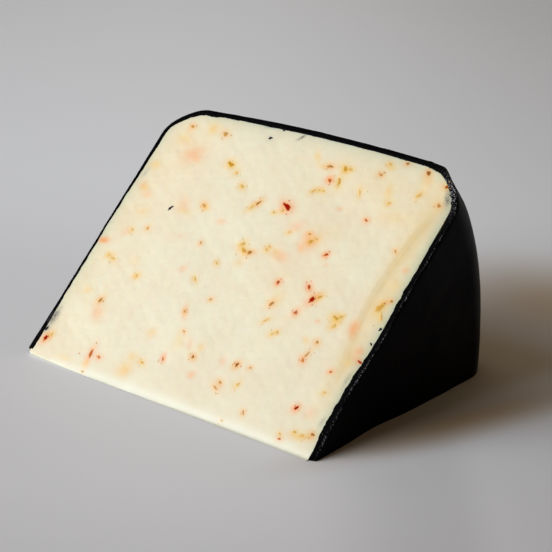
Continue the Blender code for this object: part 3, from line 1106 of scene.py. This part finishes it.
def grain_points(places, directions, height, thickness, draw):
    """Points of the grains in one face: the top's rings from the middle out, the underside's
    rings without the rim, and both middles.
    """
    proud, depth = thickness
    table = np.asarray(places, float)
    count = len(table)
    reach = grain_reach()[:, None]
    turn = np.linspace(0, 2 * math.pi, GRAIN_SPOKES, endpoint=False)[None, :]
    swing = draw.uniform(0.07, 0.20, (count, 3, 1, 1))
    phase = draw.uniform(0, 2 * math.pi, (count, 3, 1, 1))
    wave = np.array((2, 3, 5))[None, :, None, None]
    outline = 1 + (swing * np.cos(wave * turn + phase)).sum(axis=1)
    middle_across, middle_up, length, width = table[:, :4].T[..., None, None] * MM
    lengthways = length / 2 * outline * reach * np.cos(turn)
    sideways = width / 2 * outline * reach * np.sin(turn)
    heading = np.radians(table[:, 4])[:, None, None]
    across = middle_across + lengthways * np.cos(heading) - sideways * np.sin(heading)
    up = middle_up + lengthways * np.sin(heading) + sideways * np.cos(heading)
    ground = height(across, up)
    dome = 1 - np.broadcast_to(reach, ground.shape) ** 2
    top = ground + proud * dome - RIM_SUNK
    bottom = ground - depth * dome - RIM_SUNK
    rings = [np.concatenate((across, across[:, :-1]), axis=1)]
    rings.append(np.concatenate((up, up[:, :-1]), axis=1))
    rings.append(np.concatenate((top, bottom[:, :-1]), axis=1))
    shell = in_face(directions, *rings).reshape(count, -1, 3)
    middle = (middle_across[:, 0], middle_up[:, 0])
    summit = in_face(directions, *middle, height(*middle) + proud - RIM_SUNK)
    root = in_face(directions, *middle, height(*middle) - depth - RIM_SUNK)
    return np.concatenate((shell, summit, root), axis=1)


def grain_faces():
    """Quads and triangles of one grain, as numbers of its points."""
    numbers = np.arange((2 * GRAIN_RINGS - 1) * GRAIN_SPOKES).reshape(-1, GRAIN_SPOKES)
    numbers = np.hstack((numbers, numbers[:, :1]))
    above = numbers[:GRAIN_RINGS]
    below = np.vstack((numbers[GRAIN_RINGS - 1], numbers[GRAIN_RINGS:][::-1]))
    quads = np.vstack((quads_between(above), quads_between(below)))[:, ::-1]
    summit = np.full(GRAIN_SPOKES, (2 * GRAIN_RINGS - 1) * GRAIN_SPOKES)
    top_fan = np.stack((summit, above[0, :-1], above[0, 1:]), axis=-1)
    bottom_fan = np.stack((summit + 1, below[-1, 1:], below[-1, :-1]), axis=-1)
    return quads, np.vstack((top_fan, bottom_fan))


def make_grains(name, faces, thickness, node, material, seed):
    """Flat uneven grains in the cut faces, as closed lenses. A grain's outline is an oval whose
    radius swings with three random waves, and its height falls as the square of the distance.
    faces holds, for each face, a table of places, its three directions and its height.
    """
    draw = np.random.default_rng(seed)
    points = np.concatenate([grain_points(*face, thickness, draw) for face in faces])
    grains, each = points.shape[:2]
    shift = (np.arange(grains) * each)[:, None, None]
    quads, fans = grain_faces()
    groups = ((quads + shift).reshape(-1, 4), (fans + shift).reshape(-1, 3))
    piece = new_piece(name, points.reshape(-1, 3), groups, node, material, 60)
    reach = np.concatenate((grain_reach(), grain_reach()[:-1]))
    core = np.append(1 - np.repeat(reach, GRAIN_SPOKES), (1, 1))
    strength = np.concatenate([np.asarray(places, float)[:, 5] for places, _, _ in faces])
    add_values(piece, "core", np.tile(core, grains))
    add_values(piece, "strength", np.repeat(strength, each))
    add_values(piece, "tone", np.repeat(draw.uniform(0, 1, grains), each))
    return piece


# Materials

def connect(tree, value, socket):
    """Links a socket to another one, or stores a number, a vector or a colour in it."""
    if isinstance(value, bpy.types.NodeSocket):
        tree.links.new(value, socket)
    elif socket.type == "RGBA":
        socket.default_value = (*value, 1.0)
    else:
        socket.default_value = value


def feed(tree, node, **inputs):
    """Sets a node's inputs by name, with _ for a space."""
    for name, value in inputs.items():
        connect(tree, value, node.inputs[name.replace("_", " ")])


def put(tree, kind, **inputs):
    """Adds a node and sets its inputs by name."""
    node = tree.nodes.new(kind)
    feed(tree, node, **inputs)
    return node


def new_material(name):
    """An empty node material with its shader wired to the output."""
    material = bpy.data.materials.new(name)
    material.use_nodes = True
    tree = material.node_tree
    tree.nodes.clear()
    shader = tree.nodes.new("ShaderNodeBsdfPrincipled")
    put(tree, "ShaderNodeOutputMaterial", Surface=shader.outputs[0])
    return material, tree, shader


def mix_colours(tree, factor, first, second):
    """Mixes two colours; each may be a socket or a colour."""
    node = tree.nodes.new("ShaderNodeMix")
    node.data_type = "RGBA"
    for place, value in ((0, factor), (6, first), (7, second)):
        connect(tree, value, node.inputs[place])
    return node.outputs[2]


def calculate(tree, operation, first, second, clamp=False):
    """One sum of two values; each may be a socket or a number."""
    node = tree.nodes.new("ShaderNodeMath")
    node.operation = operation
    node.use_clamp = clamp
    connect(tree, first, node.inputs[0])
    connect(tree, second, node.inputs[1])
    return node.outputs[0]


def multiply(tree, first, second):
    """The product of two values."""
    return calculate(tree, "MULTIPLY", first, second)


def stretch(tree, value, low, high):
    """Spreads a value's range from low to high over 0 to 1, clamped."""
    return put(tree, "ShaderNodeMapRange", Value=value, From_Min=low, From_Max=high).outputs[0]


def along_heading(tree, place, heading):
    """How far a direction or a place reaches along a heading."""
    node = tree.nodes.new("ShaderNodeVectorMath")
    node.operation = "DOT_PRODUCT"
    tree.links.new(place, node.inputs[0])
    node.inputs[1].default_value = heading
    return node.outputs["Value"]


def smooth_along(tree, place, heading, start, end):
    """Rises softly from 0 to 1 between two distances along a heading, in metres."""
    distance = along_heading(tree, place, heading)
    spread = put(tree, "ShaderNodeMapRange", Value=distance, From_Min=start, From_Max=end)
    spread.interpolation_type = "SMOOTHSTEP"
    return spread.outputs[0]


def soft_oval(tree, place, middle, turn, length, width):
    """1 in the middle of an oval on the floor, falling softly to 0 at its rim."""
    oval = put(
        tree,
        "ShaderNodeMapping",
        Vector=place,
        Location=(*middle, 0),
        Rotation=(0, 0, math.radians(turn)),
        Scale=(length / 2, width / 2, 1),
    )
    oval.vector_type = "TEXTURE"
    distance = tree.nodes.new("ShaderNodeVectorMath")
    distance.operation = "LENGTH"
    tree.links.new(oval.outputs[0], distance.inputs[0])
    fall = put(tree, "ShaderNodeMapRange", Value=distance.outputs["Value"], To_Min=1, To_Max=0)
    fall.interpolation_type = "SMOOTHSTEP"
    return fall.outputs[0]


def read_values(tree, name):
    """The numbers stored on a piece's points."""
    node = tree.nodes.new("ShaderNodeAttribute")
    node.attribute_name = name
    return node.outputs["Fac"]


def new_group(name, inputs, output):
    """A shader node group with its inputs, its output and the place on the piece."""
    group = bpy.data.node_groups.new(name, "ShaderNodeTree")
    for title, value in inputs:
        socket = group.interface.new_socket(title, in_out="INPUT", socket_type="NodeSocketFloat")
        socket.default_value = value
    group.interface.new_socket(output, in_out="OUTPUT", socket_type="NodeSocketFloat")
    entry = group.nodes.new("NodeGroupInput").outputs
    leave = group.nodes.new("NodeGroupOutput").inputs[output]
    place = group.nodes.new("ShaderNodeTexCoord").outputs["Object"]
    return group, entry, leave, place


def mottle_group():
    """Shared mask of soft cloudy patches: noise whose places another noise has pushed about."""
    name = "Cloudy patches"
    if name in bpy.data.node_groups:
        return bpy.data.node_groups[name]
    inputs = (("Scale", 60.0), ("Swirl", 0.5), ("Low", 0.35), ("High", 0.65))
    group, entry, leave, place = new_group(name, inputs, "Mask")
    noise = put(
        group,
        "ShaderNodeTexNoise",
        Vector=place,
        Scale=entry["Scale"],
        Distortion=entry["Swirl"],
        Detail=4.0,
    )
    mask = stretch(group, noise.outputs[0], entry["Low"], entry["High"])
    group.links.new(mask, leave)
    return group


def fine_grain_group():
    """Shared fine height: two sizes of noise added, for the grain of cut cheese and wax."""
    name = "Fine grain"
    if name in bpy.data.node_groups:
        return bpy.data.node_groups[name]
    inputs = (("Coarse scale", 500.0), ("Fine scale", 2500.0), ("Fine share", 0.4))
    group, entry, leave, place = new_group(name, inputs, "Height")
    coarse = put(group, "ShaderNodeTexNoise", Vector=place, Scale=entry["Coarse scale"])
    fine = put(group, "ShaderNodeTexNoise", Vector=place, Scale=entry["Fine scale"])
    fine_part = multiply(group, fine.outputs[0], entry["Fine share"])
    group.links.new(calculate(group, "ADD", coarse.outputs[0], fine_part), leave)
    return group


def patches(tree, scale, swirl, low, high):
    """The cloudy patches placed in a material."""
    node = tree.nodes.new("ShaderNodeGroup")
    node.node_tree = mottle_group()
    feed(tree, node, Scale=scale, Swirl=swirl, Low=low, High=high)
    return node.outputs["Mask"]


def grain(tree, coarse, fine, share):
    """The fine grain placed in a material."""
    node = tree.nodes.new("ShaderNodeGroup")
    node.node_tree = fine_grain_group()
    feed(tree, node, Coarse_scale=coarse, Fine_scale=fine, Fine_share=share)
    return node.outputs["Height"]


def add_bump(tree, shader, height, distance, strength):
    """Feeds a height into the shader's normal."""
    bump = put(tree, "ShaderNodeBump", Height=height, Distance=distance, Strength=strength)
    feed(tree, shader, Normal=bump.outputs[0])


def cheese_material():
    """Pale cheese: cream with warmer veins, oil stains, a tan streak, a painted highlight along the thin
    edge, painted shade beside the coat and wax films.
    """
    colours = settings().cheese
    material, tree, shader = new_material("Pale chilli cheese")
    veins = patches(tree, 70, 1.2, 0.40, 0.66)
    clouds = patches(tree, 26, 0.6, 0.36, 0.68)
    blush = patches(tree, 230, 1.0, 0.42, 0.68)
    colour = colours.cream
    for mask, share in ((veins, 0.28), (clouds, 0.25), (blush, 0.20)):
        colour = mix_colours(tree, multiply(tree, mask, share), colour, colours.warm_cream)
    uneven = multiply(tree, patches(tree, 420, 0.8, 0.25, 0.75), 0.5)
    uneven = calculate(tree, "ADD", uneven, 0.75)
    gold = calculate(tree, "MULTIPLY", read_values(tree, "gold_oil"), uneven, clamp=True)
    red = calculate(tree, "MULTIPLY", read_values(tree, "red_oil"), uneven, clamp=True)
    film_noise = patches(tree, 1500, 0.8, 0.20, 0.55)
    for factor, layer in (
        (multiply(tree, read_values(tree, "streak"), 0.50), colours.tan_streak),
        (gold, colours.gold_oil),
        (red, colours.red_oil),
        # Painted shade beside the coat, to the right and at the thin edge
        (read_values(tree, "shade"), colours.painted_shade_cream),
        # Painted highlight along the thin edge
        (multiply(tree, read_values(tree, "pale"), 0.7), colours.pale_cream),
        (multiply(tree, read_values(tree, "wax_film"), film_noise), colours.wax_film),
    ):
        colour = mix_colours(tree, factor, colour, layer)
    feed(
        tree,
        shader,
        Base_Color=colour,
        Roughness=calculate(tree, "ADD", multiply(tree, veins, 0.12), 0.42),
        Specular_IOR_Level=0.30,
        Subsurface_Weight=0.30,
        Subsurface_Radius=(1.0, 0.62, 0.32),
        Subsurface_Scale=2.2 * MM,
    )
    add_bump(tree, shader, grain(tree, 700, 2600, 0.5), 0.05 * MM, 0.6)
    return material


def wax_material(name, wax_colour):
    """Black wax: soft sheen, dipped ripples, a duller cut darkened as painted shade, with grey specks
    and painted glints on it.
    """
    material, tree, shader = new_material(name)
    cut = read_values(tree, "cut")
    # Grey specks and painted glints on the cut
    specks = patches(tree, 3200, 0.2, 0.54, 0.62)
    specks_and_glints = multiply(tree, read_values(tree, "specks_and_glints"), specks)
    # Painted shade: the wax is darkened towards black on the cut lip
    cut_shaded_wax = mix_colours(tree, multiply(tree, cut, 0.6), wax_colour, BLACK)
    dull = patches(tree, 120, 0.8, 0.30, 0.70)
    rough = calculate(tree, "ADD", multiply(tree, dull, 0.10), 0.36)
    feed(
        tree,
        shader,
        Base_Color=mix_colours(tree, specks_and_glints, cut_shaded_wax, settings().coat.speck_and_glint_colour),
        Roughness=calculate(tree, "ADD", rough, multiply(tree, cut, 0.12)),
        Specular_IOR_Level=0.02,
    )
    swell = patches(tree, 140, 0.4, 0.0, 1.0)
    fine = multiply(tree, grain(tree, 900, 3000, 0.6), calculate(tree, "ADD", cut, 0.15))
    add_bump(tree, shader, calculate(tree, "ADD", swell, fine), 0.12 * MM, 0.7)
    return material


def flake_material(name, core_colour, rim_colour):
    """Chilli skin: a dark core that clears towards the rim, fainter in the sunken flakes."""
    material, tree, shader = new_material(name)
    torn = multiply(tree, patches(tree, 1300, 0.5, 0.30, 0.70), 0.40)
    depth = calculate(tree, "ADD", read_values(tree, "core"), torn)
    share = multiply(tree, stretch(tree, depth, 0.10, 0.60), read_values(tree, "strength"))
    tone = multiply(tree, read_values(tree, "tone"), 0.06)
    core_colour = mix_colours(tree, tone, core_colour, rim_colour)
    feed(
        tree,
        shader,
        Base_Color=mix_colours(tree, share, rim_colour, core_colour),
        Roughness=0.42,
        Specular_IOR_Level=0.03,
        Subsurface_Weight=0.15,
        Subsurface_Radius=(1.0, 0.3, 0.1),
        Subsurface_Scale=0.5 * MM,
    )
    add_bump(tree, shader, grain(tree, 1500, 4000, 0.5), 0.05 * MM, 0.6)
    return material


def painted_floor_light(tree, place, away):
    """Painted light and shade on the floor: darker on the near side and to either side of the wedge,
    where less light falls, with a painted pool of bounced light before it and a painted shadow
    band close to its right.
    """
    beside = smooth_along(tree, place, RIGHTWARD, -0.017, 0.170)
    left_of = smooth_along(tree, place, LEFTWARD, 0.017, 0.190)
    near = smooth_along(tree, place, AWAY, -0.135, -0.075)
    behind = smooth_along(tree, place, AWAY, -0.02, 0.06)
    sides = calculate(tree, "ADD", multiply(tree, beside, 1.5), left_of)
    open_front = calculate(tree, "SUBTRACT", 1.0, sides, clamp=True)
    # Painted pool of light bounced from the cheese onto the floor before the wedge
    painted_bounce_light = calculate(tree, "SUBTRACT", near, behind, clamp=True)
    painted_bounce_light = multiply(tree, painted_bounce_light, open_front)
    # Painted shadow band close to the wedge's right
    right_of = smooth_along(tree, place, RIGHTWARD, 0.008, 0.034)
    far_right = smooth_along(tree, place, RIGHTWARD, 0.040, 0.054)
    painted_shadow_band = calculate(tree, "SUBTRACT", right_of, far_right, clamp=True)
    painted_shadow_band = calculate(tree, "SUBTRACT", painted_shadow_band, behind, clamp=True)
    # Painted light and shade: lighter farther away, darker to either side of the wedge
    tone = NEAR_TONE
    for mask, change in (
        (away, 0.272),
        (beside, -0.18),
        (left_of, -0.165),
        (painted_bounce_light, 0.085),
        (painted_shadow_band, -0.095),
    ):
        tone = calculate(tree, "ADD", tone, multiply(tree, mask, change))
    return tone


def floor_material():
    """Plain pale floor with painted light and shade over it, bluer farther away, and soft warm painted
    shadow by the cast shadow.
    """
    stage = settings().stage
    material, tree, shader = new_material("Pale floor")
    place = tree.nodes.new("ShaderNodeTexCoord").outputs["Object"]
    away = smooth_along(tree, place, AWAY, -0.095, 0.170)
    ground = mix_colours(tree, away, stage.floor_colour, stage.far_floor_colour)
    colour = mix_colours(tree, painted_floor_light(tree, place, away), BLACK, ground)
    # Painted shadow: soft warm ovals that deepen and widen the cast shadow
    for x, y, length, width, turn, depth in PAINTED_FLOOR_SHADOWS:
        oval = soft_oval(tree, place, (x * MM, y * MM), turn, length * MM, width * MM)
        colour = mix_colours(tree, multiply(tree, oval, depth), colour, stage.painted_shadow_colour)
    feed(tree, shader, Base_Color=colour, Roughness=0.6, Specular_IOR_Level=0.12)
    return material


# The stage

def add_floor():
    """A wide flat floor just under the wedge."""
    mesh = bpy.data.meshes.new("floor")
    half = FLOOR_HALF
    low = -FLOOR_DROP
    corners = ((-half, -half, low), (half, -half, low), (half, half, low), (-half, half, low))
    mesh.from_pydata(corners, [], [(0, 1, 2, 3)])
    mesh.materials.append(floor_material())
    floor = bpy.data.objects.new("floor", mesh)
    bpy.context.scene.collection.objects.link(floor)
    return floor


def add_window_light(stage):
    """A square window light, low at the front left, that looks at the wedge."""
    light = bpy.data.lights.new("window", "AREA")
    light.energy = stage.key_power
    light.size = stage.key_size
    light.color = stage.key_colour
    level = stage.key_distance * math.cos(stage.key_height)
    high = stage.key_distance * math.sin(stage.key_height)
    place = Vector((level * math.cos(stage.key_heading), level * math.sin(stage.key_heading), high))
    lamp = bpy.data.objects.new("window", light)
    lamp.location = place
    lamp.rotation_euler = (Vector(WINDOW_TARGET) - place).to_track_quat("-Z", "Y").to_euler()
    bpy.context.scene.collection.objects.link(lamp)


def add_room_light(stage):
    """Dim warm light from the room: strongest from the window's side, nearly none opposite."""
    world = bpy.data.worlds.new("studio")
    world.use_nodes = True
    tree = world.node_tree
    direction = tree.nodes.new("ShaderNodeTexCoord").outputs["Generated"]
    facing = along_heading(tree, direction, ROOM_LIGHT_FROM)
    share = stretch(tree, facing, -0.15, 1.0)
    colour = mix_colours(tree, share, stage.far_fill_colour, stage.fill_colour)
    share = calculate(tree, "ADD", multiply(tree, share, 0.95), 0.05)
    strength = multiply(tree, share, stage.fill_strength)
    feed(tree, tree.nodes["Background"], Color=colour, Strength=strength)
    bpy.context.scene.world = world


def add_camera(stage):
    """A long lens from the front right, a little above, rolled a few degrees.
    The wedge's outline in the photograph gave its place and turn.
    """
    heading = stage.camera_heading
    tilt = stage.camera_tilt
    roll = stage.camera_roll
    level = Vector((math.cos(heading), math.sin(heading), 0))
    ahead = Vector((-math.sin(heading), math.cos(heading), 0))
    forward = ahead * math.cos(tilt) - Vector((0, 0, math.sin(tilt)))
    down = forward.cross(level)
    right = level * math.cos(roll) + down * math.sin(roll)
    up = level * math.sin(roll) - down * math.cos(roll)
    turn = Matrix((right, up, -forward)).transposed()
    camera = bpy.data.cameras.new("camera")
    camera.lens = stage.lens
    camera.sensor_width = stage.film_width
    camera.clip_end = 50
    holder = bpy.data.objects.new("camera", camera)
    holder.matrix_world = Matrix.Translation(stage.camera_place) @ turn.to_4x4()
    bpy.context.scene.collection.objects.link(holder)
    bpy.context.scene.camera = holder
    bpy.context.scene.view_settings.view_transform = "Standard"


# Operators

def finished(*pieces):
    """What an operator returns when its pieces have faces; else it stops with an error."""
    for piece in pieces:
        if not piece.data.polygons:
            raise RuntimeError(f"{piece.name} has no faces")
    return {"FINISHED"}


class AddCheese(bpy.types.Operator):
    """Adds the cheese itself, with its stains."""

    bl_idname = "cheese_wedge.add_cheese"
    bl_label = "Cheese"

    def execute(self, context):
        return finished(make_cheese())


class AddCoat(bpy.types.Operator):
    """Adds the black wax over the rind and both flat sides."""

    bl_idname = "cheese_wedge.add_coat"
    bl_label = "Wax coat"

    def execute(self, context):
        return finished(make_coat())


class AddFlakes(bpy.types.Operator):
    """Adds the red, brown and gold chilli flakes in both cut faces."""

    bl_idname = "cheese_wedge.add_flakes"
    bl_label = "Chilli flakes"

    def execute(self, context):
        look = settings().flakes
        size = (look.proud, look.depth)
        kinds = (
            ("chilli_red", RED_FLAKES, look.red_core, look.red_rim, RED_SEED),
            ("chilli_brown", BROWN_FLAKES, look.brown_core, look.brown_rim, BROWN_SEED),
            ("chilli_gold", GOLD_FLAKES, look.gold_core, look.gold_rim, GOLD_SEED),
        )
        pieces = []
        for name, places, core, rim, seed in kinds:
            above = (with_splinters(places, seed + SPLINTER_SEED_STEP), *upper_face())
            below = (underside_places(seed), *lower_face())
            material = flake_material(name, core, rim)
            shapes = seed + OUTLINE_SEED_STEP
            piece = make_grains(name, (above, below), size, "cheese", material, shapes)
            pieces.append(piece)
        return finished(*pieces)


class AddCrumbs(bpy.types.Operator):
    """Adds the scraps of wax that the knife dragged over the cheese."""

    bl_idname = "cheese_wedge.add_crumbs"
    bl_label = "Wax crumbs"

    def execute(self, context):
        size = (settings().flakes.scrap_proud, settings().flakes.scrap_depth)
        faces = ((WAX_CRUMBS, *upper_face()),)
        material = wax_material("Black wax scraps", settings().coat.scrap_colour)
        piece = make_grains("wax_crumbs", faces, size, None, material, CRUMB_SEED)
        return finished(piece)


class AddStage(bpy.types.Operator):
    """Adds the floor, the lights and the camera."""

    bl_idname = "cheese_wedge.add_stage"
    bl_label = "Stage"

    def execute(self, context):
        stage = settings().stage
        floor = add_floor()
        add_window_light(stage)
        add_room_light(stage)
        add_camera(stage)
        return finished(floor)


class WedgePanel(bpy.types.Panel):
    """Lists the wedge's operators and settings."""

    bl_idname = "VIEW3D_PT_cheese_wedge"
    bl_label = "Cheese wedge"
    bl_space_type = "VIEW_3D"
    bl_region_type = "UI"
    bl_category = "Cheese wedge"

    def draw(self, context):
        layout = self.layout
        for operator in OPERATORS:
            layout.operator(operator.bl_idname)
        for part, group in PARTS:
            box = layout.box()
            for name in group.__annotations__:
                box.prop(getattr(settings(), part), name)


PARTS = (
    ("wheel", WheelSettings),
    ("cheese", CheeseSettings),
    ("coat", CoatSettings),
    ("flakes", FlakeSettings),
    ("stage", StageSettings),
)
OPERATORS = (AddCheese, AddCoat, AddFlakes, AddCrumbs, AddStage)
CLASSES = (*(group for _, group in PARTS), WedgeSettings, *OPERATORS, WedgePanel)


def register():
    """Registers the classes and the scene's settings."""
    for entry in CLASSES:
        bpy.utils.register_class(entry)
    bpy.types.Scene.cheese_wedge = PointerProperty(type=WedgeSettings)


def unregister():
    """Removes the scene's settings and the classes."""
    del bpy.types.Scene.cheese_wedge
    for entry in reversed(CLASSES):
        bpy.utils.unregister_class(entry)


def main():
    """Makes the whole wedge and its stage."""
    register()
    bpy.ops.cheese_wedge.add_cheese()
    bpy.ops.cheese_wedge.add_coat()
    bpy.ops.cheese_wedge.add_flakes()
    bpy.ops.cheese_wedge.add_crumbs()
    bpy.ops.cheese_wedge.add_stage()


if __name__ == "__main__":
    main()
